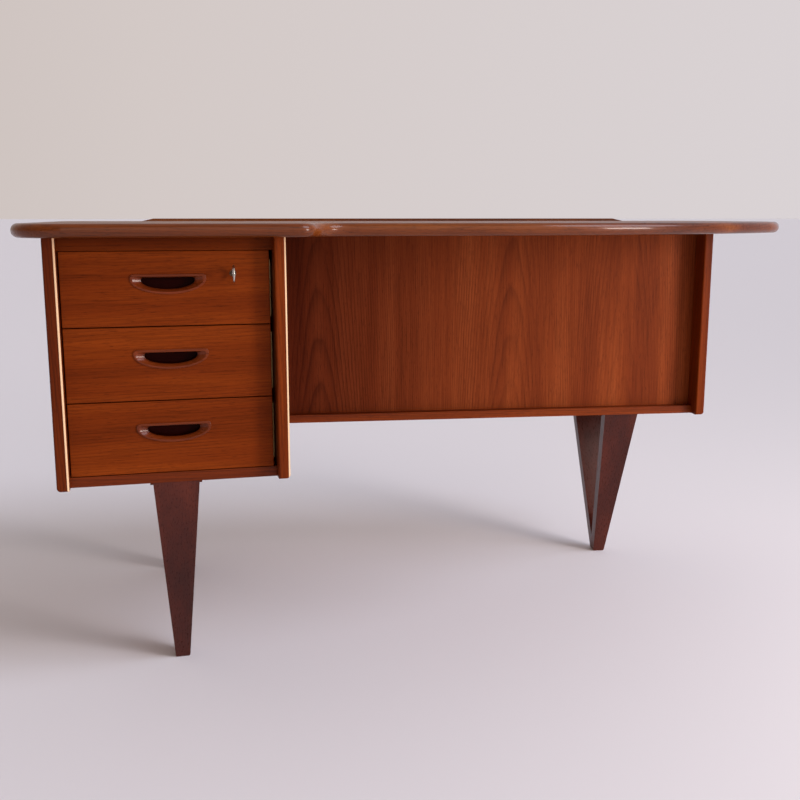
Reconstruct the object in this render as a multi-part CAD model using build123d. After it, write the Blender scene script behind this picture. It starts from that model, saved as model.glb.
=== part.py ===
from build123d import *
import os
from math import cos, radians, sin, tan

# Writing desk in teak: a boomerang-shaped top on a drawer pedestal and an open-backed
# cabinet that turns towards the sitter, standing on three V-shaped legs.
#
# Desk frame, in mm: x runs along the pedestal front, y runs back, z is up and 0 at the floor.
# It starts at the pedestal's front left corner. The cabinet has its own frame, which starts at
# its front right corner and is turned about z. Every piece is centred on the top at the end.

# ---- top ----
TOP_Z = 735.0
TOP_T = 20.5
EDGE_W = 20.0
BULLNOSE_R = 10.0
LIP_H = 5.5
LIP_W = 13.0
LIP_LEFT = 132.0
LIP_RIGHT = 1210.0
LIP_RAMP = 24.0
LIP_SETBACK = 5.0

# ---- case boards, shared by the pedestal and the cabinet ----
CASE_TOP = TOP_Z - TOP_T
CASE_BOTTOM = 340.0
BOARD_T = 18.0
BOTTOM_T = 15.5
PANEL_T = 16.0
RAIL_H = 19.7
RAIL_D = 42.0
EDGE_ROUND = 3.0
CORNER_R = 6.0
RECESS = 24.0
REAR_INSET = 2.0

# ---- pedestal ----
PED_W = 349.0
PED_D = 735.0
PED_INNER_W = PED_W - 2 * BOARD_T
PED_MID = PED_W / 2
DIVIDER_Y = 490.0
DIVIDER_T = 12.0

# ---- cabinet, turned towards the sitter ----
TURN = 6.24
CAB_X = 1250.0
CAB_Y = 309.5
CAB_L = 960.0
CAB_D = 320.0
KNEE_RECESS = 43.0
BAY_INSET = 10.0
PARTITION_X = -470.0
SHELF_Z = 520.0
PIN_R = 2.5
PIN_L = 9.0

# ---- drawers ----
DRAWERS = 3
DRAWER_PITCH = (CASE_TOP - RAIL_H - CASE_BOTTOM - BOTTOM_T) / DRAWERS
DRAWER_GAP = 1.6
SHADOW_GAP = 5.4
FRONT_T = 20.0
FRONT_ROUND = 1.0
FRONT_X0 = DRAWER_GAP - PED_INNER_W / 2
FRONT_X1 = PED_INNER_W / 2 - SHADOW_GAP
FRONT_H = DRAWER_PITCH - DRAWER_GAP
BOX_PLAY = 1.5
BOX_W = PED_INNER_W - 2 * BOX_PLAY
BOX_H = 88.0
BOX_L = 400.0
BOX_T = 12.0
BOX_LIFT = 9.0
BOX_BOTTOM_T = 4.0
BOX_BOTTOM_UP = 8.0
RUNNER_H = 12.0
RUNNER_REACH = 8.0
RUNNER_PLAY = 0.3
GROOVE_D = 7.0

# ---- drawer pulls ----
PULL_W = 112.0
PULL_H = 30.0
PULL_DROP = 34.0
PULL_PROUD = 2.0
PULL_IN = 18.5
PULL_BACK_T = 2.0
PULL_RIM_D = 3.0
PULL_EDGE_R = 1.2
PULL_CORNER = 6.0
PULL_CURVE_H = 23.0
OPENING_W = 79.0
OPENING_H = 17.5
OPENING_UP = 1.0
OPENING_STRAIGHT = 4.5
MOUTH_INSET = 4.0
MOUTH_H = 23.0
MOUTH_CURVE_H = 18.0

# ---- lock in the top drawer ----
LOCK_X = PED_MID + 96.0
LOCK_DROP = 34.0
LOCK_BODY = (50.0, 12.0, 44.0)
BOLT_W = 14.0
BOLT_T = 5.0
BOLT_TRAVEL = 8.0
BOLT_UP = 6.0
BOLT_FIT = 0.2
MORTISE_FIT = 0.6
ESCUTCHEON_R = 5.0
ESCUTCHEON_PROUD = 0.5
KEY_R = 2.0
KEY_FIT = 0.05
BOW_H = 27.0
BOW_L = 21.0
BOW_T = 2.6
BOW_RING = 4.0
BOW_AHEAD = 6.0

# ---- legs ----
LEG_SPREAD = 123.0
FOOT_HALF = 11.0
LEG_T = 22.0
LEG_TOP_W = 71.0
LEG_FOOT_W = 24.0
FOOT_ROUND = 3.5
PLATE_W = 80.0
PLATE_T = 10.0
LEG_TOP_Z = CASE_BOTTOM
SCREW_R = 2.0
SCREW_HEAD_R = 4.0
SCREW_HEAD_H = 2.6
SCREW_L = 22.0
SCREW_FIT = 0.05
SCREW_SLOT = (0.9, 5.0, 2.0)
SCREW_SPOTS = [(x, y) for x in (-28.0, 28.0) for y in (-70.0, 70.0)]

# ---- rear door, its hinges and its knob ----
DOOR_T = 18.0
DOOR_GAP = 2.4
DOOR_PLAY = 1.5
KNOB_R = 11.0
KNOB_FOOT_R = 5.5
KNOB_NECK = 6.0
KNOB_RIM = (12.0, 17.0)
KNOB_PROUD = 20.0
KNOB_IN = 35.0
KNOB_UP = 40.0
HINGE_H = 50.0
HINGE_LEAF_T = 1.0
HINGE_LEAF_L = 18.0
HINGE_KNUCKLE_R = 2.8
HINGE_PIN_R = 1.2
HINGE_FIT = 0.4
LEAF_GAP = 0.4
HINGE_X = BOARD_T + HINGE_LEAF_T + LEAF_GAP / 2
HINGE_Y = PED_D + HINGE_KNUCKLE_R + HINGE_FIT
HINGE_Z = (CASE_BOTTOM + 80.0, CASE_TOP - 110.0)

# ---- outline of the top ----
LEFT_X = -43.0
WING_Y = -43.0
BACK_Y = PED_D + 22.0
CAB_BACK_Y = CAB_D + 22.0
RIGHT_END = 104.0
FRONT_LEFT_R = 75.0
BACK_R = 45.0
WING_R = 30.0
WING_X = 364.5
STEP_ANGLE = 60.0
STEP_RUN = 8.0
HOLLOW_R = 60.0
FRONT_SLANT = -3.2
NOSE_R = 170.0
NOSE_Y = -20.0
NOSE_START = 40.0
BEND_R = 600.0


def bar(x0, x1, y0, y1, z0, z1):
    """A plain board between two opposite corners."""
    return Pos((x0 + x1) / 2, (y0 + y1) / 2, (z0 + z1) / 2) * Box(x1 - x0, y1 - y0, z1 - z0)


def rod(x, y, z, radius, length, axis="Z"):
    """A round rod centred on a point, along one axis."""
    turn = {"X": (0, 90, 0), "Y": (90, 0, 0), "Z": (0, 0, 0)}[axis]
    return Pos(x, y, z) * Rot(*turn) * Cylinder(radius, length)


def toward_back(face, y0, y1):
    """Extrude a face drawn in x and z from y0 back to y1."""
    return extrude(Pos(0, y1, 0) * (Plane.XZ * face), y1 - y0)


def beside(point, radius, angle):
    """The point on a circle about a centre, where angle 0 faces the sitter and 90 the right."""
    a = radians(angle)
    return (point[0] + radius * sin(a), point[1] - radius * cos(a))


CABINET = Pos(CAB_X, CAB_Y, 0) * Rot(0, 0, -TURN)


def in_desk(x, y):
    """Desk coordinates of a point in the cabinet's frame."""
    a = radians(TURN)
    return (CAB_X + x * cos(a) + y * sin(a), CAB_Y - x * sin(a) + y * cos(a))


def top_outline():
    """The plan of the top: wing over the drawers, S-shaped step, long front edge, round nose."""
    wing = (WING_X, WING_Y + WING_R)
    step_start = beside(wing, WING_R, STEP_ANGLE)
    run = (STEP_RUN * cos(radians(STEP_ANGLE)), STEP_RUN * sin(radians(STEP_ANGLE)))
    step_end = (step_start[0] + run[0], step_start[1] + run[1])
    hollow = beside(step_end, HOLLOW_R, STEP_ANGLE)
    hollow_mid = beside(hollow, -HOLLOW_R, (STEP_ANGLE + FRONT_SLANT) / 2)
    hollow_end = beside(hollow, -HOLLOW_R, FRONT_SLANT)
    nose = (RIGHT_END - NOSE_R, NOSE_Y)
    nose_start = beside(nose, NOSE_R, NOSE_START)
    nose_mid = beside(nose, NOSE_R, (90 + NOSE_START) / 2)
    sweep_end = in_desk(*nose_start)
    slant = radians(FRONT_SLANT)
    heading = radians(NOSE_START - TURN)
    off_x = sweep_end[0] - hollow_end[0]
    off_y = sweep_end[1] - hollow_end[1]
    # The sweep is one arc, so its tangents at the straight front and at the nose are equally long.
    reach = (off_y * cos(slant) - off_x * sin(slant)) / sin(heading - slant)
    meet = (sweep_end[0] - reach * cos(heading), sweep_end[1] - reach * sin(heading))
    sweep_start = (meet[0] - reach * cos(slant), meet[1] - reach * sin(slant))
    bend_x = CAB_X + (CAB_BACK_Y - (BACK_Y - CAB_Y) * cos(radians(TURN))) / sin(radians(TURN))
    bend_cut = BEND_R * tan(radians(TURN / 2))
    bend_end = (bend_x + bend_cut * cos(radians(TURN)), BACK_Y - bend_cut * sin(radians(TURN)))
    corner = (1 - cos(radians(45))) * BACK_R
    with BuildSketch() as plan:
        with BuildLine():
            Line((LEFT_X + FRONT_LEFT_R, WING_Y), (WING_X, WING_Y))
            ThreePointArc((WING_X, WING_Y), beside(wing, WING_R, STEP_ANGLE / 2), step_start)
            Line(step_start, step_end)
            ThreePointArc(step_end, hollow_mid, hollow_end)
            Line(hollow_end, sweep_start)
            TangentArc(sweep_start, sweep_end, tangent=(cos(slant), sin(slant)))
            ThreePointArc(sweep_end, in_desk(*nose_mid), in_desk(RIGHT_END, NOSE_Y))
            Line(in_desk(RIGHT_END, NOSE_Y), in_desk(RIGHT_END, CAB_BACK_Y - BACK_R))
            ThreePointArc(in_desk(RIGHT_END, CAB_BACK_Y - BACK_R),
                          in_desk(RIGHT_END - corner, CAB_BACK_Y - corner),
                          in_desk(RIGHT_END - BACK_R, CAB_BACK_Y))
            Line(in_desk(RIGHT_END - BACK_R, CAB_BACK_Y), bend_end)
            TangentArc(bend_end, (bend_x - bend_cut, BACK_Y),
                       tangent=(-cos(radians(TURN)), sin(radians(TURN))))
            Line((bend_x - bend_cut, BACK_Y), (LEFT_X + BACK_R, BACK_Y))
            ThreePointArc((LEFT_X + BACK_R, BACK_Y), (LEFT_X + corner, BACK_Y - corner),
                          (LEFT_X, BACK_Y - BACK_R))
            Line((LEFT_X, BACK_Y - BACK_R), (LEFT_X, WING_Y + FRONT_LEFT_R))
            ThreePointArc((LEFT_X, WING_Y + FRONT_LEFT_R),
                          beside((LEFT_X + FRONT_LEFT_R, WING_Y + FRONT_LEFT_R), FRONT_LEFT_R, -45),
                          (LEFT_X + FRONT_LEFT_R, WING_Y))
        make_face()
    return plan.sketch


plan = top_outline()
centre = plan.bounding_box().center()
PLACE = Pos(-centre.X, -centre.Y, 0)
nodes = {}


def keep(name, shape, frame=Location()):
    """Record a piece, moved out of its own frame into the centred one."""
    nodes[name] = PLACE * frame * shape


def group(pieces):
    """Several identical separate pieces kept as one node."""
    return Compound(children=[solid for piece in pieces for solid in piece.solids()])


# ---- top: veneered panel, solid edging in four lengths, raised lip along the back ----
slab = Pos(0, 0, CASE_TOP) * extrude(plan, TOP_T)
faces = slab.faces().sort_by(Axis.Z)
slab = fillet(faces[0].edges() + faces[-1].edges(), BULLNOSE_R)
core_plan = offset(plan, -EDGE_W)
core = Pos(0, 0, CASE_TOP) * extrude(core_plan, TOP_T)
ring = slab - core
left_cut = bar(-100, LEFT_X + EDGE_W + 1, 60, BACK_Y - 70, 0, 900)
right_cut = CABINET * bar(RIGHT_END - EDGE_W - 1, 200, 10, CAB_BACK_Y - 70, 0, 900)
lengths = (ring - left_cut - right_cut).solids().sort_by(Axis.Y)

lip_band = offset(plan, -LIP_SETBACK) - offset(plan, -LIP_SETBACK - LIP_W)
lip_side = Plane.XZ * make_face(Polyline(
    (LIP_LEFT, TOP_Z), (LIP_RIGHT, TOP_Z), (LIP_RIGHT - LIP_RAMP, TOP_Z + LIP_H),
    (LIP_LEFT + LIP_RAMP, TOP_Z + LIP_H), close=True))
lip_reach = Pos(0, BACK_Y, 0) * extrude(lip_side, 200)
lip = (Pos(0, 0, TOP_Z) * extrude(lip_band, LIP_H)) & lip_reach
keep("top_panel", core)
keep("top_edging_front", lengths[0])
keep("top_edging_back", lengths[-1])
keep("top_edging_left", ring & left_cut)
keep("top_edging_right", ring & right_cut)
keep("top_back_lip", lip)

# ---- pedestal carcase ----


def side_board(depth):
    """An upright side board with x = 0 at its outer face: a round lower corner and front edges."""
    height = CASE_TOP - CASE_BOTTOM
    face = Pos(BOARD_T / 2, CASE_BOTTOM + height / 2) * Rectangle(BOARD_T, height)
    outer_corner = face.vertices().sort_by(Axis.Y)[:2].sort_by(Axis.X)[0]
    board = toward_back(fillet(outer_corner, CORNER_R), 0, depth)
    front_edges = board.faces().sort_by(Axis.Y)[0].edges().filter_by(Axis.Z)
    return fillet(front_edges, EDGE_ROUND)


pedestal_wall = bar(PED_W - 2000, PED_W, -200, 2000, 0, 1000)
rail_bottom = CASE_TOP - RAIL_H
bottom_top = CASE_BOTTOM + BOTTOM_T
inner = (BOARD_T, PED_W - BOARD_T)

bolt_y = RECESS + FRONT_T + LOCK_BODY[1] / 2


def bolt_space(fit, z0, z1):
    """The bolt's own section, with some room all round it, between two heights."""
    half_w = BOLT_W / 2 + fit
    half_t = BOLT_T / 2 + fit
    return bar(LOCK_X - half_w, LOCK_X + half_w, bolt_y - half_t, bolt_y + half_t, z0, z1)


mortise = bolt_space(MORTISE_FIT, rail_bottom - 1, rail_bottom + BOLT_TRAVEL + 1)
pedestal_side = side_board(PED_D)
keep("pedestal_side_left", pedestal_side)
keep("pedestal_side_right", Pos(PED_W, 0, 0) * mirror(pedestal_side, Plane.YZ))
keep("pedestal_top_rail", bar(*inner, RECESS, RECESS + RAIL_D, rail_bottom, CASE_TOP) - mortise)
keep("pedestal_back_rail", bar(*inner, PED_D - REAR_INSET - RAIL_D, PED_D - REAR_INSET,
                               rail_bottom, CASE_TOP))
keep("pedestal_divider", bar(*inner, DIVIDER_Y, DIVIDER_Y + DIVIDER_T, bottom_top, CASE_TOP))

# ---- cabinet carcase: its left ends are scribed to the pedestal side ----
scribe = CABINET.inverse() * pedestal_wall
knee_back = KNEE_RECESS + PANEL_T
rear_rail_y = CAB_D - REAR_INSET - RAIL_D
bay_back = CAB_D - BAY_INSET


def scribed(y0, y1, z0, z1):
    """A cabinet board from the right side back to the pedestal wall."""
    return bar(-CAB_L, -BOARD_T, y0, y1, z0, z1) - scribe


partition = bar(PARTITION_X, PARTITION_X + PANEL_T, knee_back, bay_back, bottom_top, rail_bottom)
shelf = bar(-CAB_L, -BOARD_T, knee_back + 1, bay_back - 4, SHELF_Z, SHELF_Z + PANEL_T) - scribe
shelf = shelf - bar(PARTITION_X, PARTITION_X + PANEL_T, 0, CAB_D, 0, 900)
shelves = shelf.solids().sort_by(Axis.X)
keep("cabinet_side_right", mirror(side_board(CAB_D), Plane.YZ), CABINET)
keep("cabinet_top_rail", scribed(knee_back, knee_back + RAIL_D, rail_bottom, CASE_TOP), CABINET)
keep("cabinet_back_rail", scribed(rear_rail_y, CAB_D - REAR_INSET, rail_bottom, CASE_TOP), CABINET)
keep("knee_panel", scribed(KNEE_RECESS, knee_back, bottom_top, CASE_TOP), CABINET)
keep("bookcase_partition", partition, CABINET)
keep("bookcase_shelf_left", shelves[0], CABINET)
keep("bookcase_shelf_right", shelves[-1], CABINET)

pin_ys = (knee_back + 40, bay_back - 45)
pin_xs = (PARTITION_X - PIN_L / 2, PARTITION_X + PANEL_T + PIN_L / 2, -BOARD_T - PIN_L / 2)
pins = [rod(x, y, SHELF_Z - PIN_R, PIN_R, PIN_L, "X") for x in pin_xs for y in pin_ys]
wall_x = -(CAB_X - PED_W) / cos(radians(TURN))
for y in pin_ys:
    pin_x = wall_x - y * tan(radians(TURN)) + PIN_L / 2
    pins.append(rod(pin_x, y, SHELF_Z - PIN_R, PIN_R, 2 * PIN_L, "X") - scribe)
keep("shelf_pins", group(pins), CABINET)

# ---- legs: two tapered boards mitred together at the foot, under a plate ----
legs = {
    "front_left": Pos(PED_MID, RECESS + 1 + LEG_SPREAD, 0),
    "rear_left": Pos(PED_MID, PED_D - 20 - LEG_SPREAD, 0),
    "right": CABINET * Pos(-163.0, 163.0, 0),
}
slope = (LEG_SPREAD - FOOT_HALF) / LEG_TOP_Z
mitre_z = (LEG_T - FOOT_HALF) / slope


def leg_board():
    """The front board of a leg: slanted in side view and tapered in front view."""
    side_view = Plane.YZ * make_face(Polyline(
        (-LEG_SPREAD, LEG_TOP_Z), (LEG_T - LEG_SPREAD, LEG_TOP_Z), (0, mitre_z), (0, 0),
        (-FOOT_HALF, 0), close=True))
    front_view = make_face(Polyline(
        (-LEG_TOP_W / 2, LEG_TOP_Z), (LEG_TOP_W / 2, LEG_TOP_Z), (LEG_FOOT_W / 2, 0),
        (-LEG_FOOT_W / 2, 0), close=True))
    front_view = Plane.XZ * fillet(front_view.vertices().sort_by(Axis.Y)[:2], FOOT_ROUND)
    board = extrude(side_view, LEG_TOP_W, both=True) & extrude(front_view, LEG_SPREAD * 2, both=True)
    return board


board = leg_board()
plate_z = LEG_TOP_Z - PLATE_T
plate_y = LEG_SPREAD - LEG_T - slope * PLATE_T
plate = make_face(Polyline((-plate_y, plate_z), (plate_y, plate_z),
                           (plate_y + slope * PLATE_T, LEG_TOP_Z),
                           (-plate_y - slope * PLATE_T, LEG_TOP_Z), close=True))
plate = extrude(Plane.YZ * plate, PLATE_W / 2, both=True)
hole_r = SCREW_R + SCREW_FIT
head_hole = Cone(SCREW_HEAD_R + SCREW_FIT, hole_r, SCREW_HEAD_H)
screw = Pos(0, 0, plate_z + SCREW_L / 2) * Cylinder(SCREW_R, SCREW_L)
screw = screw + Pos(0, 0, plate_z + SCREW_HEAD_H / 2) * Cone(SCREW_HEAD_R, SCREW_R, SCREW_HEAD_H)
screw = screw - Pos(0, 0, plate_z) * Box(*SCREW_SLOT)
for x, y in SCREW_SPOTS:
    plate = plate - rod(x, y, plate_z + PLATE_T / 2, hole_r, PLATE_T)
    plate = plate - Pos(x, y, plate_z + SCREW_HEAD_H / 2) * head_hole

bite = SCREW_L - PLATE_T
pilot_holes = []
leg_screws = []
for name, spot in legs.items():
    keep(f"leg_{name}_front_board", board, spot)
    keep(f"leg_{name}_rear_board", Rot(0, 0, 180) * board, spot)
    keep(f"leg_{name}_plate", plate, spot)
    leg_screws += [spot * Pos(x, y, 0) * screw for x, y in SCREW_SPOTS]
    pilot_holes += [spot * rod(x, y, LEG_TOP_Z + bite / 2, hole_r, bite) for x, y in SCREW_SPOTS]
keep("leg_screws", group(leg_screws))

pedestal_bottom = bar(*inner, RECESS - 1, PED_D - REAR_INSET, CASE_BOTTOM, bottom_top)
cabinet_bottom = CABINET * scribed(RECESS - 1, CAB_D - REAR_INSET, CASE_BOTTOM, bottom_top)
for hole in pilot_holes:
    pedestal_bottom = pedestal_bottom - hole
    cabinet_bottom = cabinet_bottom - hole
keep("pedestal_bottom", pedestal_bottom)
keep("cabinet_bottom", cabinet_bottom)

# ---- drawers ----


def pull_face(width, height, curve_h):
    """Flat top with small corners over a lower half ellipse, centred on its own height."""
    straight = height - curve_h
    upper = Pos(0, height / 2 - straight / 2) * Rectangle(width, straight)
    top_corners = upper.vertices().sort_by(Axis.Y)[-2:]
    upper = fillet(top_corners, straight * 0.8)
    lower = Pos(0, height / 2 - straight) * Ellipse(width / 2, curve_h)
    lower = lower - Pos(0, height / 2 - straight + curve_h) * Rectangle(2 * width, 2 * curve_h)
    return upper + lower


pull_plan = pull_face(PULL_W, PULL_H, PULL_CURVE_H)
opening_plan = Pos(0, OPENING_UP) * pull_face(OPENING_W, OPENING_H, OPENING_H - OPENING_STRAIGHT)
mouth_plan = pull_face(PULL_W - 2 * MOUTH_INSET, MOUTH_H, MOUTH_CURVE_H)
inner_y = PULL_PROUD + PULL_RIM_D
pull = toward_back(pull_plan, -PULL_PROUD, PULL_IN)
mouth = loft([Pos(0, -PULL_PROUD - 0.01, 0) * (Plane.XZ * mouth_plan),
              Pos(0, inner_y, 0) * (Plane.XZ * opening_plan)])
pull = pull - mouth - toward_back(opening_plan, inner_y - 0.1, PULL_IN - PULL_BACK_T)
pull = fillet(pull.faces().sort_by(Axis.Y)[0].outer_wire().edges(), PULL_EDGE_R)

half_gap = DRAWER_GAP / 2
box_z0 = BOX_LIFT
runner_z = box_z0 + BOX_H / 2
box_x = BOX_W / 2
box_y0 = RECESS + FRONT_T
pull_z = FRONT_H - PULL_DROP - PULL_H / 2
lock_z = FRONT_H - LOCK_DROP


def drawer_pieces():
    """The six pieces of one drawer, with z from the underside of its front."""
    front = bar(FRONT_X0, FRONT_X1, RECESS, RECESS + FRONT_T, 0, FRONT_H)
    front = fillet(front.faces().sort_by(Axis.Y)[0].edges(), FRONT_ROUND)
    pocket = Pos(0, RECESS, pull_z) * toward_back(pull_plan, -1, PULL_IN)
    slot_x = box_x - BOX_T + 4
    bottom_z = box_z0 + BOX_BOTTOM_UP
    wall = bar(box_x - BOX_T, box_x, box_y0, box_y0 + BOX_L, box_z0, box_z0 + BOX_H)
    groove = bar(box_x - GROOVE_D, box_x + 1, box_y0 + 14, box_y0 + BOX_L + 1,
                 runner_z - RUNNER_H / 2 - RUNNER_PLAY, runner_z + RUNNER_H / 2 + RUNNER_PLAY)
    slot = bar(box_x - BOX_T - 1, slot_x, box_y0 - 1, box_y0 + BOX_L + 1,
               bottom_z, bottom_z + BOX_BOTTOM_T)
    wall = wall - groove - slot
    back_y = box_y0 + BOX_L - BOX_T
    back = bar(-box_x + BOX_T, box_x - BOX_T, back_y, box_y0 + BOX_L,
               bottom_z + BOX_BOTTOM_T, box_z0 + BOX_H - 4)
    floor = bar(-slot_x, slot_x, box_y0, box_y0 + BOX_L - 1, bottom_z, bottom_z + BOX_BOTTOM_T)
    return {
        "front": front - pocket,
        "pull": Pos(0, RECESS, pull_z) * pull,
        "side_left": mirror(wall, Plane.YZ),
        "side_right": wall,
        "back": back,
        "bottom": floor,
    }


lock_hole = rod(LOCK_X - PED_MID, RECESS + FRONT_T / 2, lock_z, ESCUTCHEON_R, FRONT_T + 2, "Y")
runners = []
for number in range(1, DRAWERS + 1):
    base = rail_bottom - number * DRAWER_PITCH + half_gap
    at = Pos(PED_MID, 0, base)
    for name, piece in drawer_pieces().items():
        if number == 1 and name == "front":
            piece = piece - lock_hole
        keep(f"drawer_{number}_{name}", piece, at)
    low = base + runner_z - RUNNER_H / 2
    strip = bar(BOARD_T, BOARD_T + RUNNER_REACH - 0.5, box_y0 + 20, DIVIDER_Y, low, low + RUNNER_H)
    runners += [strip, mirror(strip, Plane.YZ.offset(PED_MID))]
keep("drawer_runners", group(runners))

# ---- lock, bolt and key of the top drawer ----
lock_at = rail_bottom - DRAWER_PITCH + half_gap + lock_z
case_y0 = RECESS + FRONT_T
case_top = rail_bottom - half_gap
case = bar(LOCK_X - LOCK_BODY[0] / 2, LOCK_X + LOCK_BODY[0] / 2, case_y0, case_y0 + LOCK_BODY[1],
           case_top - LOCK_BODY[2] - 2, case_top)
bolt_low = lock_at + BOLT_UP
bolt_way = bolt_space(BOLT_FIT, bolt_low - 0.5, case_top + 1)
key_way = rod(LOCK_X, case_y0 + LOCK_BODY[1] / 2 - 1, lock_at, KEY_R + KEY_FIT, LOCK_BODY[1], "Y")
keep("lock_case", case - bolt_way - key_way)
keep("lock_bolt", bolt_space(0, bolt_low, case_top - 0.3))
escutcheon = rod(LOCK_X, RECESS + (FRONT_T - ESCUTCHEON_PROUD) / 2, lock_at, ESCUTCHEON_R,
                 FRONT_T + ESCUTCHEON_PROUD, "Y")
escutcheon = escutcheon - rod(LOCK_X, RECESS + FRONT_T / 2, lock_at, KEY_R + 0.4, FRONT_T + 9, "Y")
keep("lock_escutcheon", escutcheon)
bow_y = RECESS - BOW_AHEAD - BOW_L / 2
shank_end = case_y0 + LOCK_BODY[1] - 3
bow = Ellipse(BOW_L / 2, BOW_H / 2) - Ellipse(BOW_L / 2 - BOW_RING, BOW_H / 2 - BOW_RING)
bow = extrude(bow, BOW_T / 2, both=True)
bow = fillet(bow.edges(), 0.8)
bow = Pos(LOCK_X, bow_y, lock_at) * Rot(0, 90, 0) * Rot(0, 0, 90) * bow
shank_y0 = bow_y + BOW_L / 2 - 2.5
shank = rod(LOCK_X, (shank_y0 + shank_end) / 2, lock_at, KEY_R, shank_end - shank_y0, "Y")
keep("key", bow + shank)

# ---- rear door, with its hinges and knob ----
door_x0 = BOARD_T + DOOR_GAP
door_x1 = PED_W - BOARD_T - DOOR_PLAY
door_y1 = PED_D - REAR_INSET
door_z = (bottom_top + DOOR_PLAY, rail_bottom - DOOR_PLAY)
door = bar(door_x0, door_x1, door_y1 - DOOR_T, door_y1, *door_z)
leaf_y0 = PED_D - HINGE_LEAF_L
knuckle_h = HINGE_H / 3
case_leaves = []
door_leaves = []
hinge_pins = []
door_leaf_x = HINGE_X + LEAF_GAP / 2
leaf_span = (leaf_y0, HINGE_Y)


def hinge_part(z, radius, height):
    """A cylinder on the hinge's axis, centred on a height."""
    return rod(HINGE_X, HINGE_Y, z, radius, height)


for z in HINGE_Z:
    leaf_z = (z - HINGE_H / 2, z + HINGE_H / 2)
    bore = hinge_part(z, HINGE_PIN_R + 0.05, HINGE_H + 2)
    clear_all = hinge_part(z, HINGE_KNUCKLE_R + HINGE_FIT, HINGE_H + 1)
    mid_clear = hinge_part(z, HINGE_KNUCKLE_R + HINGE_FIT, knuckle_h)
    end_clear = clear_all - hinge_part(z, HINGE_KNUCKLE_R + 2, knuckle_h - HINGE_FIT)
    outer = hinge_part(z, HINGE_KNUCKLE_R, HINGE_H) - hinge_part(z, HINGE_KNUCKLE_R + 1, knuckle_h)
    middle = hinge_part(z, HINGE_KNUCKLE_R, knuckle_h - HINGE_FIT)
    case_leaf = bar(BOARD_T, BOARD_T + HINGE_LEAF_T, *leaf_span, *leaf_z)
    door_leaf = bar(door_leaf_x, door_leaf_x + HINGE_LEAF_T, *leaf_span, *leaf_z)
    case_leaves.append((case_leaf - mid_clear) + outer - bore)
    door_leaves.append((door_leaf - end_clear) + middle - bore)
    hinge_pins.append(hinge_part(z, HINGE_PIN_R, HINGE_H))
    door = door - bar(door_x0 - 1, door_leaf_x + HINGE_LEAF_T, leaf_y0, PED_D, *leaf_z)
keep("door_hinge_case_leaves", group(case_leaves))
keep("door_hinge_door_leaves", group(door_leaves))
keep("door_hinge_pins", group(hinge_pins))
knob_profile = Plane.XZ * make_face(Polyline(
    (0, 0), (KNOB_FOOT_R, 0), (KNOB_FOOT_R, KNOB_NECK), (KNOB_R, KNOB_RIM[0]),
    (KNOB_R, KNOB_RIM[1]), (0, KNOB_PROUD), close=True))
knob = revolve(knob_profile, Axis.Z)
knob_x = door_x1 - KNOB_IN
knob_z = (door_z[0] + door_z[1]) / 2 + KNOB_UP
keep("rear_door", door)
keep("rear_door_knob", Pos(knob_x, door_y1, knob_z) * Rot(-90, 0, 0) * knob)

os.makedirs("parts", exist_ok=True)
for name, shape in nodes.items():
    export_step(shape, f"parts/{name}.step")
print(len(nodes), "pieces, shift", -centre.X, -centre.Y)
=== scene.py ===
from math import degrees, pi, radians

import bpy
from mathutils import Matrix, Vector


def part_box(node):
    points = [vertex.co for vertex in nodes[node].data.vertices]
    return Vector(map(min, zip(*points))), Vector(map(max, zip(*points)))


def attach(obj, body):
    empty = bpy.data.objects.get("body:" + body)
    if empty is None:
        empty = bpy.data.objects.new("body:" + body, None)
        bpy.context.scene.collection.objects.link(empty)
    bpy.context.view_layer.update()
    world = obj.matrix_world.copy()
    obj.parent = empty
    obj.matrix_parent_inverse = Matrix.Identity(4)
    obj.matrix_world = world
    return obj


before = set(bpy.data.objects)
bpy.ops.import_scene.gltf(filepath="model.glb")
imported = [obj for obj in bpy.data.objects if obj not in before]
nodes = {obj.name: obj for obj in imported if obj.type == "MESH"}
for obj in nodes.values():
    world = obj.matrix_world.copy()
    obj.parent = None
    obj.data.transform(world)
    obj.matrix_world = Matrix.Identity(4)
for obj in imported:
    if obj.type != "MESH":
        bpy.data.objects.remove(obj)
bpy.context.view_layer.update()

# %% [markdown]
# # A teak writing desk, finished in Blender
# The desk has a boomerang-shaped top, a pedestal with three drawers, an open-backed cabinet that
# turns a little towards the sitter, and three V-shaped legs. Its carcase, drawers, lock and hinges
# come ready made in the frame, in metres, so this lesson gives them their timber and metal, adds the
# small joinery that repeats, and sets up a pale studio.

MM = 0.001

# %% [markdown]
# ## Two small helpers
# Timber colours are easiest to pick as the hex values of a paint program, but a shader works in
# linear light, so one function converts them. Node trees are easier to read when one line adds a
# node, sets it up and plugs it in, so a second function does that for shaders and Geometry Nodes
# alike.


# %% Colour and node helpers
def linear(hex_colour):
    """The linear RGBA of an sRGB hex colour such as #8a4b2a."""
    levels = [int(hex_colour[i:i + 2], 16) / 255 for i in (1, 3, 5)]
    return tuple(v / 12.92 if v <= 0.04045 else ((v + 0.055) / 1.055) ** 2.4 for v in levels) + (1.0,)


def add(tree, kind, inputs=None, **settings):
    """Adds a node, with its settings. Each input is a value or another node's output socket."""
    node = tree.nodes.new(kind)
    for name, value in settings.items():
        setattr(node, name, value)
    for socket, value in (inputs or {}).items():
        if isinstance(value, bpy.types.NodeSocket):
            tree.links.new(value, node.inputs[socket])
        else:
            node.inputs[socket].default_value = value
    return node


print("mid teak in linear light:", [round(v, 3) for v in linear("#8a4b2a")])

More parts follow.
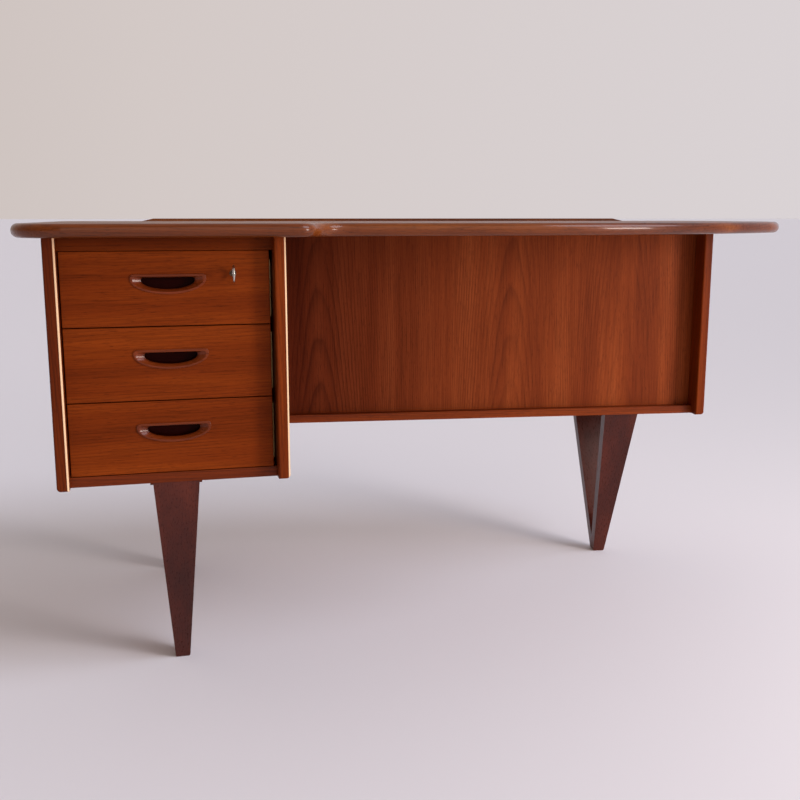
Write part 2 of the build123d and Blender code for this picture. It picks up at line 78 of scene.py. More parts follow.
# %% [markdown]
# ## Oiled teak
# Every board of this desk was sliced or sawn from a log, and a log is a bundle of nested cones: the
# growth rings. A board shows long straight lines where the cut crosses the rings steeply, and
# pointed arches, called cathedrals, where it runs almost along them. Painting such lines on a flat
# texture would break at every corner. A solid pattern does not: it measures how far each point is
# from the heart of an imaginary log, so the face, the edge and the end of a board agree, as they do
# on timber. The colour of teak also changes in broad bands, its fibres are fine straight streaks,
# and its open pores are short dark flecks that oil leaves slightly rough.

# %% The log that a board was cut from
AXIS_OF = {"x": "X", "y": "Y", "z": "Z"}
WAVE_RING = 2 * pi / 20


def in_the_log(tree, grain, turn, wander):
    """Object coordinates as (along, across, depth) of the log, with lines that wander a little.
    grain names the axis that each of the three lies on, such as zxy for an upright knee panel."""
    here = add(tree, "ShaderNodeTexCoord")
    straight = add(tree, "ShaderNodeMapping", {"Vector": here.outputs["Object"],
                                               "Rotation": (0, 0, turn)})
    split = add(tree, "ShaderNodeSeparateXYZ", {"Vector": straight.outputs[0]})
    along, across, depth = [split.outputs[AXIS_OF[axis]] for axis in grain]
    log = add(tree, "ShaderNodeCombineXYZ", {"X": along, "Y": across, "Z": depth}).outputs[0]
    slow = add(tree, "ShaderNodeVectorMath", {0: log, 1: (2.2, 9, 9)}, operation="MULTIPLY")
    noise = add(tree, "ShaderNodeTexNoise", {"Vector": slow.outputs[0], "Scale": 1.0, "Detail": 2.0})
    shift = add(tree, "ShaderNodeMath", {0: noise.outputs["Fac"], 1: wander, 2: -wander / 2},
                operation="MULTIPLY_ADD")
    bent = add(tree, "ShaderNodeMath", {0: across, 1: shift.outputs[0]})
    return log, along, bent.outputs[0], depth


def growth_rings(tree, log_parts, ring, heart, taper, leaves):
    """0 to 1 across each ring. heart is the depth of the log's centre behind the face, and leaves
    are the veneer leaves side by side: where each begins and where its cathedral stands."""
    along, across, depth = log_parts
    first, *others = leaves
    centre = first[1]
    offset = add(tree, "ShaderNodeMath", {0: across, 1: centre}, operation="SUBTRACT").outputs[0]
    for start, next_centre in others:
        past = add(tree, "ShaderNodeMath", {0: across, 1: start}, operation="GREATER_THAN")
        offset = add(tree, "ShaderNodeMath", {0: past.outputs[0], 1: centre - next_centre, 2: offset},
                     operation="MULTIPLY_ADD").outputs[0]
        centre = next_centre
    lean = add(tree, "ShaderNodeMath", {0: along, 1: taper, 2: heart}, operation="MULTIPLY_ADD")
    below = add(tree, "ShaderNodeMath", {0: lean.outputs[0], 1: depth})
    slow_along = add(tree, "ShaderNodeMath", {0: along, 1: 0.15}, operation="MULTIPLY")
    place = add(tree, "ShaderNodeCombineXYZ", {"X": slow_along.outputs[0], "Y": offset,
                                               "Z": below.outputs[0]})
    wave = add(tree, "ShaderNodeTexWave", {
        "Vector": place.outputs[0], "Scale": WAVE_RING / ring, "Distortion": 2.4, "Detail": 2.0,
        "Detail Scale": 0.35, "Detail Roughness": 0.5},
        wave_type="RINGS", rings_direction="X", wave_profile="SAW")
    return wave.outputs["Fac"]


print("a 4 mm ring needs a wave scale of", round(WAVE_RING / (4 * MM), 1))

# %% [markdown]
# The next cell turns those measures into a finish. The bands come from a slow noise stretched along
# the grain, the dark late wood sits at the end of each ring, the fibres are a noise about a
# millimetre across and the pores are flecks a little wider than real ones, because true teak pores,
# a quarter of a millimetre, would vanish at the distance from which a desk is seen. Hand-rubbed oil
# gives a satin surface, whose roughness varies a little with the fibres. The edging of the top and
# the drawer pulls, which hands have polished, also get a thin clear coat of wax.


# %% The teak finish
def stops(ramp, *positions_and_colours):
    """Sets the stops of a colour ramp."""
    elements = ramp.color_ramp.elements
    while len(elements) < len(positions_and_colours):
        elements.new(1.0)
    for element, (position, colour) in zip(elements, positions_and_colours):
        element.position = position
        element.color = linear(colour) if isinstance(colour, str) else (*[colour] * 3, 1)
    return ramp.outputs["Color"]


def oiled_teak(name, grain, tones, ring=4.5, heart=0.09, taper=0.045, leaves=((-9, 0.0),),
               turn=0.0, wander=12, figure=0.6, satin=0.36, sheen=0.14, coat=0.0):
    """Teak veneer or solid teak. tones run from light to dark, the last being the late-wood lines.
    ring and wander are in mm, heart and leaves in metres."""
    material = bpy.data.materials.new(name)
    material.use_nodes = True
    tree = material.node_tree
    tree.nodes.clear()
    log, along, across, depth = in_the_log(tree, grain, turn, wander * MM)
    rings = growth_rings(tree, (along, across, depth), ring * MM, heart, taper, leaves)
    late_wood = stops(add(tree, "ShaderNodeValToRGB", {"Fac": rings}),
                      (0.0, 0.35), (0.12, 0.0), (0.62, 0.25), (0.93, 1.0), (1.0, 0.35))

    strength_at = add(tree, "ShaderNodeVectorMath", {0: log, 1: (1.6, 16, 16)}, operation="MULTIPLY")
    strength = add(tree, "ShaderNodeTexNoise", {"Vector": strength_at.outputs[0], "Scale": 1.0})
    clear = add(tree, "ShaderNodeMapRange", {"Value": strength.outputs["Fac"], "From Min": 0.35,
                                             "From Max": 0.68, "To Min": 0.12 * figure, "To Max": figure})
    line = add(tree, "ShaderNodeMath", {0: late_wood, 1: clear.outputs[0]}, operation="MULTIPLY")

    bands_at = add(tree, "ShaderNodeVectorMath", {0: log, 1: (0.9, 17, 17)}, operation="MULTIPLY")
    bands = add(tree, "ShaderNodeTexNoise", {"Vector": bands_at.outputs[0], "Scale": 1.0,
                                             "Detail": 4.0, "Roughness": 0.6})
    light, mid, dark, late = tones
    ground = stops(add(tree, "ShaderNodeValToRGB", {"Fac": bands.outputs["Fac"]}),
                   (0.30, dark), (0.50, mid), (0.70, light))
    lined = add(tree, "ShaderNodeMix", {0: line.outputs[0], 6: ground, 7: linear(late)},
                data_type="RGBA")

    fibres_at = add(tree, "ShaderNodeVectorMath", {0: log, 1: (9, 480, 480)}, operation="MULTIPLY")
    fibres = add(tree, "ShaderNodeTexNoise", {"Vector": fibres_at.outputs[0], "Scale": 1.0,
                                              "Detail": 3.0, "Roughness": 0.65})
    fibre_tone = stops(add(tree, "ShaderNodeValToRGB", {"Fac": fibres.outputs["Fac"]}),
                       (0.28, 0.50), (0.52, 0.92), (0.72, 1.0))
    streaked = add(tree, "ShaderNodeMix", {0: 0.75, 6: lined.outputs[2], 7: fibre_tone},
                   data_type="RGBA", blend_type="MULTIPLY")

    pores_at = add(tree, "ShaderNodeVectorMath", {0: log, 1: (70, 1100, 1100)}, operation="MULTIPLY")
    pores = add(tree, "ShaderNodeTexNoise", {"Vector": pores_at.outputs[0], "Scale": 1.0, "Detail": 1.0})
    pore = add(tree, "ShaderNodeMapRange", {"Value": pores.outputs["Fac"], "From Min": 0.60,
                                            "From Max": 0.72})
    fleck = add(tree, "ShaderNodeMath", {0: pore.outputs[0], 1: 0.55}, operation="MULTIPLY")
    finished = add(tree, "ShaderNodeMix", {0: fleck.outputs[0], 6: streaked.outputs[2],
                                           7: linear(late)}, data_type="RGBA")

    rough = add(tree, "ShaderNodeMapRange", {"Value": fibres.outputs["Fac"], "From Min": 0.3,
                                             "From Max": 0.7, "To Min": satin - 0.06,
                                             "To Max": satin + 0.08})
    relief = add(tree, "ShaderNodeMath", {0: fibres.outputs["Fac"], 1: pore.outputs[0]},
                 operation="SUBTRACT")
    bump = add(tree, "ShaderNodeBump", {"Height": relief.outputs[0], "Strength": 0.25,
                                        "Distance": 0.15 * MM})
    shader = add(tree, "ShaderNodeBsdfPrincipled", {
        "Base Color": finished.outputs[2], "Roughness": rough.outputs[0], "IOR": 1.48,
        "Specular IOR Level": sheen, "Coat Weight": coat, "Coat Roughness": 0.1,
        "Normal": bump.outputs[0]})
    add(tree, "ShaderNodeOutputMaterial", {"Surface": shader.outputs[0]})
    return material


# %% [markdown]
# ## Which way the grain runs
# A cabinetmaker plans each board's grain: lengthwise on the top and on rails, level across the
# drawer fronts so that the three read as one sheet, upright on the sides and on the knee panel,
# where matched leaves stand side by side. The cabinet stands turned, so its level boards need the
# same turn in their pattern. Old oiled teak is a red brown, more golden on the top, where most light
# has reached it. Each row of tones runs from light to dark and ends with the late-wood lines.

# %% Teak for each job
CABINET_TURN = radians(6.24)
KNEE_LO, KNEE_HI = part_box("knee_panel")
GOLDEN = ("#a8652f", "#8a4a22", "#6b3218", "#3a1a0e")
EDGE_GOLD = ("#8b4a17", "#71340e", "#57250a", "#301305")
RED_BROWN = ("#93400f", "#7c310a", "#642507", "#3f1505")
KNEE_BROWN = ("#a04e25", "#8c3f1b", "#763114", "#4d1e0c")
# Painted shade: the rails' tones below are a darker copy of RED_BROWN, for the shadow that the top's
# overhang casts on the pedestal's top rail; the back rail, the divider and the rear door share them.
SHADED_RAIL_BROWN = ("#823709", "#6d2a07", "#571f05", "#381204")
PULL_BROWN = ("#8c3a14", "#75300f", "#5c240b", "#3a1406")
LEG_BROWN = ("#632818", "#4f1d11", "#3c140c", "#230a06")

SIDE_BOARDS = ("pedestal_side_left", "pedestal_side_right", "cabinet_side_right",
               "bookcase_partition")

teak = {
    "top": oiled_teak("teak_veneer_top", "xyz", GOLDEN, ring=5, heart=0.11, taper=0.02,
                      leaves=((-9, -0.28), (-0.13, -0.02), (0.12, 0.23))),
    "edge_long": oiled_teak("teak_edging_lengthwise", "xyz", EDGE_GOLD, heart=0.2, figure=0.5,
                            satin=0.3, sheen=0.12, coat=0.4),
    "edge_deep": oiled_teak("teak_edging_crosswise", "yxz", EDGE_GOLD, heart=0.2, figure=0.5,
                            satin=0.3, sheen=0.12, coat=0.4),
    "rail": oiled_teak("teak_rails", "xzy", SHADED_RAIL_BROWN, heart=0.3, sheen=0.05),
    "turned_rail": oiled_teak("teak_cabinet_rails", "xzy", RED_BROWN, heart=0.3, turn=CABINET_TURN),
    "turned_board": oiled_teak("teak_cabinet_boards", "xyz", RED_BROWN, heart=0.2, turn=CABINET_TURN),
    "board": oiled_teak("teak_bottom_boards", "xyz", RED_BROWN, heart=0.2),
    **{board: oiled_teak("teak_" + board, "zyx", RED_BROWN, heart=0.12, sheen=0.08,
                         leaves=((-9, -0.16), (0.02, 0.20))) for board in SIDE_BOARDS},
    "drawers": oiled_teak("teak_drawer_fronts", "xzy", RED_BROWN, heart=0.9, ring=3.5, figure=0.4,
                          leaves=((-9, 0.9),), satin=0.42, sheen=0.05),
    "knee": oiled_teak("teak_knee_panel", "zxy", KNEE_BROWN, ring=3.2, heart=0.045, taper=0.035,
                       figure=0.6, turn=CABINET_TURN, satin=0.44, sheen=0.06,
                       leaves=((-9, KNEE_LO.x + 0.11), (KNEE_LO.x + 0.27, KNEE_LO.x + 0.50),
                               (KNEE_LO.x + 0.64, KNEE_LO.x + 0.74))),
    "pull": oiled_teak("teak_drawer_pulls", "xzy", PULL_BROWN, heart=0.2, ring=3, figure=0.35,
                       satin=0.3, sheen=0.1, coat=0.25),
    "leg": oiled_teak("stained_teak_legs", "zxy", LEG_BROWN, heart=0.2, figure=0.4, satin=0.3,
                      sheen=0.3),
}
print(len(teak), "teak finishes")

# %% [markdown]
# ## A painted highlight on two corners
# The right-hand front rounding of both pedestal sides catches the light from the right, and that
# highlight is painted into the finish as a pale line. The line is narrow, so it is mixed into the
# finish by place: near the right face and near the front face of that board.


# %% A painted highlight along a corner
def finish_by_place(material):
    """The tree of a finish, its shader, the socket of its colour, and Object coordinates apart."""
    tree = material.node_tree
    shader = next(node for node in tree.nodes if node.type == "BSDF_PRINCIPLED")
    oiled = shader.inputs["Base Color"].links[0].from_socket
    place = add(tree, "ShaderNodeSeparateXYZ", {
        0: add(tree, "ShaderNodeTexCoord").outputs["Object"]})
    return tree, shader, oiled, place


def paint_corner_highlight(board, width=3.0, painted_highlit="#ecc49a"):
    """Paints a pale highlight into a side board along its right-hand front corner. width is in mm."""
    low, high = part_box(board)
    tree, shader, oiled, place = finish_by_place(teak[board])
    reach = width * MM
    to_right = add(tree, "ShaderNodeMapRange", {
        "Value": place.outputs["X"], "From Min": high.x - reach, "From Max": high.x - reach * 0.8})
    to_front = add(tree, "ShaderNodeMapRange", {
        "Value": place.outputs["Y"], "From Min": low.y + reach, "From Max": low.y + reach * 0.8})
    corner = add(tree, "ShaderNodeMath", {0: to_right.outputs[0], 1: to_front.outputs[0]},
                 operation="MULTIPLY")
    mixed = add(tree, "ShaderNodeMix", {0: corner.outputs[0], 6: oiled, 7: linear(painted_highlit)},
                data_type="RGBA")
    tree.links.new(mixed.outputs[2], shader.inputs["Base Color"])


# Painted highlight along the right-hand front rounding of both pedestal sides.
paint_corner_highlight("pedestal_side_left")
paint_corner_highlight("pedestal_side_right")
print("bare corners on two side boards")

# %% [markdown]
# The hollow of a drawer pull is painted darker, for the shade that falls inside it. The knee panel
# is painted darker near the pedestal, for the shade that falls at that end. Both are painted shade:
# the finished colour multiplied by a dark tone that sets in along one axis.


# %% Painted shade in the pull hollows and at the knee panel's pedestal end
def paint_shade_along(material, axis, light_at, dark_at, dark):
    """Paints shade into a material: multiplies it by a dark tone that grows along an axis between two
    coordinates, and takes its gloss away in step."""
    tree, shader, oiled, place = finish_by_place(material)
    growing = add(tree, "ShaderNodeMapRange", {
        "Value": place.outputs[axis], "From Min": light_at, "From Max": dark_at})
    toned = add(tree, "ShaderNodeMix", {0: growing.outputs[0], 6: oiled, 7: linear(dark)},
                data_type="RGBA", blend_type="MULTIPLY")
    tree.links.new(toned.outputs[2], shader.inputs["Base Color"])
    for gloss in (shader.inputs["Coat Weight"], shader.inputs["Specular IOR Level"]):
        dulled = add(tree, "ShaderNodeMapRange", {
            "Value": growing.outputs[0], "To Min": gloss.default_value, "To Max": 0.02})
        tree.links.new(dulled.outputs[0], gloss)


drawer_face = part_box("drawer_1_front")[0].y
# Painted shade inside the pull hollows, from 2 mm to 9 mm behind the drawer face.
paint_shade_along(teak["pull"], "Y", drawer_face + 2 * MM, drawer_face + 9 * MM, "#5a3028")
# Painted shade on the knee panel, darker towards its pedestal end.
paint_shade_along(teak["knee"], "X", KNEE_LO.x + 0.42, KNEE_LO.x + 0.02, "#a48fa4")
print("pull hollows darken behind y", round(drawer_face, 4))


# %% [markdown]
# ## Beech drawer boxes and the metals
# The drawer boxes are beech: pale, close-grained and waxed, with hardly any pore, so the same
# solid-log idea is used with a softer contrast. The hinges and the shelf pins are brass that has
# dulled with age, the key is nickel-plated, the lock's collar is nickel whose colour is darkened to a
# dark brown as painted shade around the key, and the lock and the leg screws are zinc-coated steel.
# Metals differ mostly in colour and in how even their polish is, so one function takes both.


# %% Beech and metals
def waxed_beech(name, grain):
    """Beech drawer sides: pale, with faint rings and a silky wax finish."""
    return oiled_teak(name, grain, ("#d8b888", "#cda873", "#bf955f", "#a87d4c"), ring=3,
                      figure=0.3, heart=0.15, satin=0.5)


def worn_metal(name, colour, dull_colour, rough, patch):
    """Cast or drawn metal with a finish that has dulled in patches. patch is in mm."""
    material = bpy.data.materials.new(name)
    material.use_nodes = True
    tree = material.node_tree
    tree.nodes.clear()
    here = add(tree, "ShaderNodeTexCoord")
    patches = add(tree, "ShaderNodeTexNoise", {"Vector": here.outputs["Object"],
                                               "Scale": 1 / (patch * MM), "Detail": 4.0})
    tint = stops(add(tree, "ShaderNodeValToRGB", {"Fac": patches.outputs["Fac"]}),
                 (0.35, dull_colour), (0.62, colour))
    polish = add(tree, "ShaderNodeMapRange", {"Value": patches.outputs["Fac"], "From Min": 0.3,
                                              "From Max": 0.7, "To Min": rough + 0.15, "To Max": rough})
    scratches = add(tree, "ShaderNodeTexNoise", {"Vector": here.outputs["Object"],
                                                 "Scale": 1 / (0.6 * MM), "Detail": 2.0})
    bump = add(tree, "ShaderNodeBump", {"Height": scratches.outputs["Fac"], "Strength": 0.12,
                                        "Distance": 0.05 * MM})
    shader = add(tree, "ShaderNodeBsdfPrincipled", {
        "Base Color": tint, "Metallic": 1.0, "Roughness": polish.outputs[0],
        "Normal": bump.outputs[0]})
    add(tree, "ShaderNodeOutputMaterial", {"Surface": shader.outputs[0]})
    return material


beech_deep = waxed_beech("beech_drawer_sides", "yzx")
beech_wide = waxed_beech("beech_drawer_backs", "xzy")
beech_floor = waxed_beech("beech_drawer_bottoms", "xyz")
brass = worn_metal("aged_brass", "#c9a45c", "#8d6a34", 0.28, 6)
nickel = worn_metal("nickel_plate", "#d9d6cf", "#b4afa4", 0.20, 8)
# Painted shade: the lock's collar is a dark brown nickel for the shade that falls around the key.
shade_dark_nickel = worn_metal("nickel_darkened_for_shade", "#6e5c4a", "#45362a", 0.4, 3)
steel = worn_metal("zinc_coated_steel", "#a9abad", "#7b7d80", 0.35, 5)
print("metals:", brass.name, nickel.name, steel.name)

# %% [markdown]
# ## Giving every piece its finish
# The frame's pieces keep their shape and only change what is in their material slots. A table by
# name says which finish each one takes, so nothing is left in its first plain colour.

# %% Finishes by piece
finishes = {
    "top_panel": teak["top"],
    "top_edging_front": teak["edge_long"], "top_edging_back": teak["edge_long"],
    "top_edging_left": teak["edge_deep"], "top_edging_right": teak["edge_deep"],
    "top_back_lip": teak["edge_long"],
    "pedestal_top_rail": teak["rail"], "pedestal_back_rail": teak["rail"],
    "pedestal_divider": teak["rail"], "pedestal_bottom": teak["board"],
    "cabinet_top_rail": teak["turned_rail"], "cabinet_back_rail": teak["turned_rail"],
    "cabinet_bottom": teak["turned_board"],
    "bookcase_shelf_left": teak["turned_board"], "bookcase_shelf_right": teak["turned_board"],
    "knee_panel": teak["knee"], **{board: teak[board] for board in SIDE_BOARDS},
    "rear_door": teak["rail"], "rear_door_knob": teak["edge_deep"],
    "drawer_runners": beech_deep, "shelf_pins": brass,
    "door_hinge_case_leaves": brass, "door_hinge_door_leaves": brass, "door_hinge_pins": brass,
    "leg_screws": steel, "lock_case": steel, "lock_bolt": steel,
    "lock_escutcheon": shade_dark_nickel, "key": nickel,
}
for name in nodes:
    if name.startswith("leg_") and name != "leg_screws":
        finishes[name] = teak["board"] if name.endswith("plate") else teak["leg"]
for number in (1, 2, 3):
    finishes[f"drawer_{number}_front"] = teak["drawers"]
    finishes[f"drawer_{number}_pull"] = teak["pull"]
    finishes[f"drawer_{number}_side_left"] = beech_deep
    finishes[f"drawer_{number}_side_right"] = beech_deep
    finishes[f"drawer_{number}_back"] = beech_wide
    finishes[f"drawer_{number}_bottom"] = beech_floor
for name, piece in nodes.items():
    for index in range(len(piece.data.materials)):
        piece.data.materials[index] = finishes[name]
print("finished", len(finishes), "of", len(nodes), "pieces")

# %% [markdown]
# ## Dovetails at the drawer corners
# A drawer that is pulled by its front for sixty years is held by dovetails: fan-shaped tails on the
# side boards, let into the ends of the front. They show only when a drawer is open, as a row of
# pale fans on the end of each front. They repeat evenly, so Geometry Nodes lay one fan on every
# point of a small grid of points, and the result is turned into a plain mesh.


# %% The tree that repeats a dovetail
def socket(tree, name, kind, value):
    """Adds a named input to a Geometry Nodes tree, with its default."""
    entry = tree.interface.new_socket(name, in_out="INPUT", socket_type=kind)
    if value is not None:
        entry.default_value = value
    return entry.identifier


def tree_with_geometry(name):
    """An empty Geometry Nodes tree with points going in and a geometry coming out."""
    tree = bpy.data.node_groups.new(name, "GeometryNodeTree")
    tree.interface.new_socket("Points", in_out="INPUT", socket_type="NodeSocketGeometry")
    tree.interface.new_socket("Geometry", in_out="OUTPUT", socket_type="NodeSocketGeometry")
    return tree


def grown(name, points, tree, values, material):
    """Runs a tree on a mesh of points and returns the result as a plain mesh object."""
    seeds = bpy.data.meshes.new(name)
    seeds.from_pydata(points, [], [])
    piece = bpy.data.objects.new(name, seeds)
    bpy.context.scene.collection.objects.link(piece)
    modifier = piece.modifiers.new("grow", "NODES")
    modifier.node_group = tree
    for identifier, value in values.items():
        modifier[identifier] = value
    seen = piece.evaluated_get(bpy.context.evaluated_depsgraph_get())
    mesh = bpy.data.meshes.new_from_object(seen)
    piece.modifiers.remove(modifier)
    piece.data = mesh
    mesh.name = name
    if not mesh.materials:
        mesh.materials.append(material)
    return piece


dovetail_tree = tree_with_geometry("dovetails")
TAIL_SIZE = socket(dovetail_tree, "Size", "NodeSocketVector", (0.3 * MM, 13 * MM, 14 * MM))
TAIL_FLARE = socket(dovetail_tree, "Flare", "NodeSocketFloat", -0.2)
TAIL_WOOD = socket(dovetail_tree, "Wood", "NodeSocketMaterial", None)
given = add(dovetail_tree, "NodeGroupInput")
fan = add(dovetail_tree, "GeometryNodeMeshCube", {"Size": given.outputs["Size"]})
corner = add(dovetail_tree, "GeometryNodeInputPosition")
corner_parts = add(dovetail_tree, "ShaderNodeSeparateXYZ", {0: corner.outputs[0]})
along_tail = add(dovetail_tree, "ShaderNodeMath", {
    0: corner_parts.outputs["Y"], 1: given.outputs["Flare"]}, operation="MULTIPLY")
side_sign = add(dovetail_tree, "ShaderNodeMath", {0: corner_parts.outputs["Z"]}, operation="SIGN")
flare = add(dovetail_tree, "ShaderNodeMath", {
    0: along_tail.outputs[0], 1: side_sign.outputs[0]}, operation="MULTIPLY")
push = add(dovetail_tree, "ShaderNodeCombineXYZ", {"Z": flare.outputs[0]})
fanned = add(dovetail_tree, "GeometryNodeSetPosition", {"Geometry": fan.outputs["Mesh"],
                                                       "Offset": push.outputs[0]})
placed = add(dovetail_tree, "GeometryNodeInstanceOnPoints", {
    "Points": given.outputs["Points"], "Instance": fanned.outputs[0]})
real = add(dovetail_tree, "GeometryNodeRealizeInstances", {0: placed.outputs[0]})
wooden = add(dovetail_tree, "GeometryNodeSetMaterial", {"Geometry": real.outputs[0],
                                                       "Material": given.outputs["Wood"]})
add(dovetail_tree, "NodeGroupOutput", {0: wooden.outputs[0]})
print("dovetail tree:", len(dovetail_tree.nodes), "nodes")

# %% Dovetails on each drawer
TAILS = 4
TAIL_LENGTH = 13 * MM
for number in (1, 2, 3):
    front_lo, front_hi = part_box(f"drawer_{number}_front")
    side_lo, side_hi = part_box(f"drawer_{number}_side_left")
    pitch = (side_hi.z - side_lo.z) / TAILS
    spots = [(x, front_hi.y - TAIL_LENGTH / 2, side_lo.z + pitch * (tail + 0.5))
             for x in (front_lo.x, front_hi.x) for tail in range(TAILS)]
    piece = grown(f"drawer_{number}_dovetails", spots, dovetail_tree,
                  {TAIL_SIZE: (0.3 * MM, TAIL_LENGTH, pitch * 0.62), TAIL_FLARE: -0.22,
                   TAIL_WOOD: beech_deep}, beech_deep)
    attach(piece, f"drawer_{number}")
print("dovetails:", TAILS * 2, "on each drawer")

# %% [markdown]
# ## Slotted screws in the hinges
# Each brass leaf is held by three countersunk screws. A screw head is a short cylinder with a slot
# cut across it, and every fitter leaves the slots at a different angle, so the tree turns each one
# by a random amount with a fixed seed.

# %% The tree that repeats a screw head
screw_tree = tree_with_geometry("slotted_screws")
SCREW_RADIUS = socket(screw_tree, "Radius", "NodeSocketFloat", 1.9 * MM)
SCREW_HEIGHT = socket(screw_tree, "Height", "NodeSocketFloat", 0.5 * MM)
SCREW_FACING = socket(screw_tree, "Facing", "NodeSocketRotation", None)
SCREW_SEED = socket(screw_tree, "Seed", "NodeSocketInt", 3)
SCREW_METAL = socket(screw_tree, "Metal", "NodeSocketMaterial", None)
given = add(screw_tree, "NodeGroupInput")
head = add(screw_tree, "GeometryNodeMeshCylinder", {
    "Vertices": 24, "Radius": given.outputs["Radius"], "Depth": given.outputs["Height"]})
slot_wide = add(screw_tree, "ShaderNodeMath", {0: given.outputs["Radius"], 1: 0.32},
                operation="MULTIPLY")
slot_long = add(screw_tree, "ShaderNodeMath", {0: given.outputs["Radius"], 1: 2.4},
                operation="MULTIPLY")
slot_size = add(screw_tree, "ShaderNodeCombineXYZ", {
    "X": slot_long.outputs[0], "Y": slot_wide.outputs[0], "Z": given.outputs["Height"]})
blade = add(screw_tree, "GeometryNodeMeshCube", {"Size": slot_size.outputs[0]})
half_up = add(screw_tree, "ShaderNodeMath", {0: given.outputs["Height"], 1: 0.6},
              operation="MULTIPLY")
lift = add(screw_tree, "ShaderNodeCombineXYZ", {"Z": half_up.outputs[0]})
raised = add(screw_tree, "GeometryNodeSetPosition", {"Geometry": blade.outputs["Mesh"],
                                                    "Offset": lift.outputs[0]})
slotted = add(screw_tree, "GeometryNodeMeshBoolean", operation="DIFFERENCE")
screw_tree.links.new(head.outputs["Mesh"], slotted.inputs["Mesh 1"])
screw_tree.links.new(raised.outputs[0], slotted.inputs["Mesh 2"])
spin = add(screw_tree, "FunctionNodeRandomValue", {"Seed": given.outputs["Seed"]},
           data_type="FLOAT")
spin.inputs[3].default_value = pi
spin_axis = add(screw_tree, "FunctionNodeAxisAngleToRotation", {
    "Axis": (0, 0, 1), "Angle": spin.outputs[1]})
facing = add(screw_tree, "FunctionNodeRotateRotation", {
    0: given.outputs["Facing"], 1: spin_axis.outputs[0]}, rotation_space="LOCAL")
placed = add(screw_tree, "GeometryNodeInstanceOnPoints", {
    "Points": given.outputs["Points"], "Instance": slotted.outputs["Mesh"],
    "Rotation": facing.outputs[0]})
real = add(screw_tree, "GeometryNodeRealizeInstances", {0: placed.outputs[0]})
metal = add(screw_tree, "GeometryNodeSetMaterial", {"Geometry": real.outputs[0],
                                                   "Material": given.outputs["Metal"]})
add(screw_tree, "NodeGroupOutput", {0: metal.outputs[0]})
print("screw tree:", len(screw_tree.nodes), "nodes")

# %% Screws in both leaves of both hinges
HINGE_HEIGHT = 50 * MM
LEAF_DEPTH = 18 * MM
LEAF_T = 1 * MM
LEAF_GAP = 0.4 * MM
SCREW_STEP = 17 * MM
SCREW_SET_BACK = 0.42
leaf_lo, leaf_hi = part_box("door_hinge_case_leaves")
hinge_middles = (leaf_lo.z + HINGE_HEIGHT / 2, leaf_hi.z - HINGE_HEIGHT / 2)
rows = [(leaf_lo.y + LEAF_DEPTH * SCREW_SET_BACK, z + step) for z in hinge_middles
        for step in (-SCREW_STEP, 0, SCREW_STEP)]
case_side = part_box("pedestal_side_left")[1].x
print("hinge screws:", len(rows), "in each set of leaves; case side at", round(case_side, 4))
for name, body, x, turn in (("hinge_screws_case", "desk", case_side + LEAF_T, pi / 2),
                            ("hinge_screws_door", "rear_door", case_side + LEAF_T + LEAF_GAP, -pi / 2)):
    piece = grown(name, [(x, y, z) for y, z in rows], screw_tree,
                  {SCREW_RADIUS: 1.9 * MM, SCREW_HEIGHT: 0.3 * MM, SCREW_FACING: (0, turn, 0),
                   SCREW_SEED: 3, SCREW_METAL: brass}, brass)
    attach(piece, body)

# %% [markdown]
# ## The studio
# The desk stands on a plain pale floor that runs to the horizon under a pale sky, as on a roll of
# paper. Cool window light comes from high on the right, so the shadows of the legs fall to the
# left, and a softer light fills in from the front. A glass door stands near the right end of the
# desk: its light fades with distance, so the knee panel is brighter on that side. The camera stands
# a little to the right of the desk's left end, at the height of its top.

# %% Floor and sky
floor_mesh = bpy.data.meshes.new("floor")
FLOOR = 400.0
floor_mesh.from_pydata([(-FLOOR, -FLOOR, 0), (FLOOR, -FLOOR, 0), (FLOOR, FLOOR, 0), (-FLOOR, FLOOR, 0)],
                       [], [(0, 1, 2, 3)])
floor = bpy.data.objects.new("floor", floor_mesh)
bpy.context.scene.collection.objects.link(floor)
paper = bpy.data.materials.new("pale_matt_paper")
paper.use_nodes = True
paper_shader = paper.node_tree.nodes["Principled BSDF"]
paper_shader.inputs["Base Color"].default_value = linear("#e6e2e6")
paper_shader.inputs["Roughness"].default_value = 0.9
floor_mesh.materials.append(paper)

sky = bpy.data.worlds.new("pale_sky")
sky.use_nodes = True
sky_tree = sky.node_tree
sky_tree.nodes.clear()
look_to = add(sky_tree, "ShaderNodeSeparateXYZ", {
    0: add(sky_tree, "ShaderNodeTexCoord").outputs["Generated"]})
to_window = add(sky_tree, "ShaderNodeMapRange", {"Value": look_to.outputs["X"], "From Min": -1.0})
to_back = add(sky_tree, "ShaderNodeMapRange", {"Value": look_to.outputs["Y"], "From Min": -0.9,
                                               "From Max": 0.6, "To Min": 0.2, "To Max": 0.9})
walls = stops(add(sky_tree, "ShaderNodeValToRGB", {"Fac": to_window.outputs[0]}),
              (0.0, "#c3a994"), (0.5, "#dcd6d4"), (1.0, "#eef1ff"))
room = add(sky_tree, "ShaderNodeBackground", {"Color": walls, "Strength": to_back.outputs[0]})
pale = stops(add(sky_tree, "ShaderNodeValToRGB", {"Fac": to_window.outputs[0]}),
             (0.2, "#c0b3ac"), (0.5, "#d3c9c6"), (0.8, "#dad3d5"))
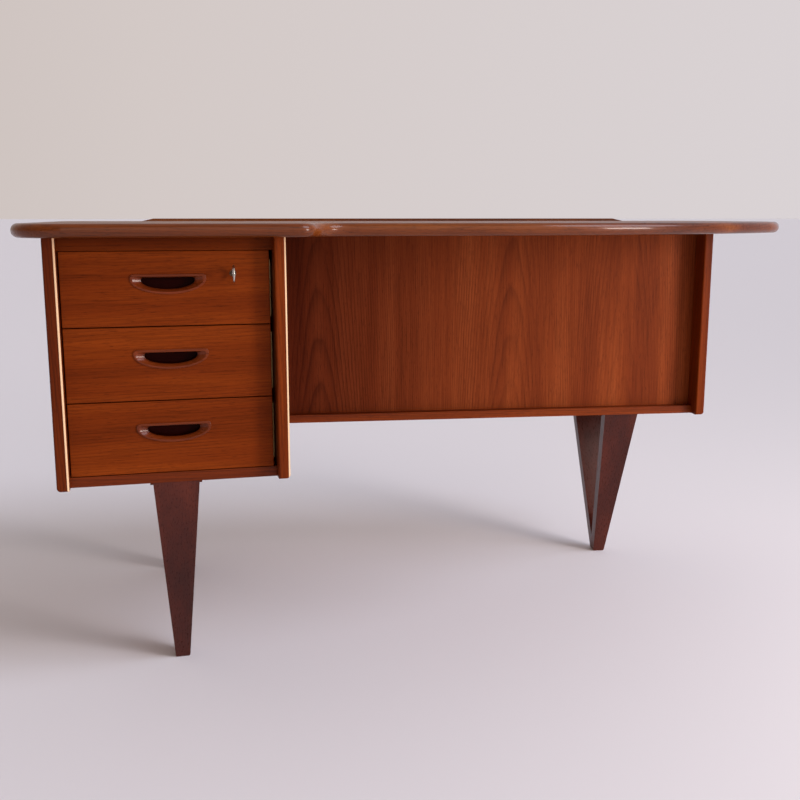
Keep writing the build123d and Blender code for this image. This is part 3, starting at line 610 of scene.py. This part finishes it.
backdrop = add(sky_tree, "ShaderNodeBackground", {"Color": pale, "Strength": 1.0})
seen = add(sky_tree, "ShaderNodeLightPath")
air = add(sky_tree, "ShaderNodeMixShader", {0: seen.outputs["Is Camera Ray"], 1: room.outputs[0],
                                            2: backdrop.outputs[0]})
add(sky_tree, "ShaderNodeOutputWorld", {"Surface": air.outputs[0]})
bpy.context.scene.world = sky
bpy.context.scene.view_settings.view_transform = "Standard"


# %% Lights
def sunlight(name, compass, height, softness, power, colour):
    """Daylight from one side: compass and height are the angles, in degrees, that it comes from."""
    lamp = bpy.data.lights.new(name, "SUN")
    lamp.energy = power
    lamp.angle = radians(softness)
    lamp.color = linear(colour)[:3]
    holder = bpy.data.objects.new(name, lamp)
    holder.rotation_euler = (radians(90 - height), 0, radians(compass + 90))
    bpy.context.scene.collection.objects.link(holder)
    return holder


def near_light(name, place, target, size, power, colour):
    """A soft light of some width and height, turned towards a point, that fades with distance."""
    lamp = bpy.data.lights.new(name, "AREA")
    lamp.shape = "RECTANGLE"
    lamp.size, lamp.size_y = size
    lamp.energy = power
    lamp.color = linear(colour)[:3]
    holder = bpy.data.objects.new(name, lamp)
    holder.location = place
    holder.rotation_euler = (Vector(target) - Vector(place)).to_track_quat("-Z", "Y").to_euler()
    bpy.context.scene.collection.objects.link(holder)
    return holder


sunlight("window", -31, 42, 32, 1.5, "#eaf0ff")
sunlight("room_fill", -72, 24, 60, 0.8, "#fff2ea")
near_light("glass_door", (1.9, -1.9, 0.85), (0.2, 0.1, 0.5), (0.6, 0.9), 36, "#fff4ee")

# %% Camera
LENS = 44.68
camera = bpy.data.objects.new("camera", bpy.data.cameras.new("camera"))
camera.data.lens = LENS
camera.data.sensor_width = 36
camera.location = (-0.51192, -1.86454, 0.7436)
camera.rotation_euler = (radians(90 - 10.44), 0, radians(-13.64))
bpy.context.scene.collection.objects.link(camera)
bpy.context.scene.camera = camera
print("camera looks", round(90 - degrees(camera.rotation_euler.x), 2), "degrees down")
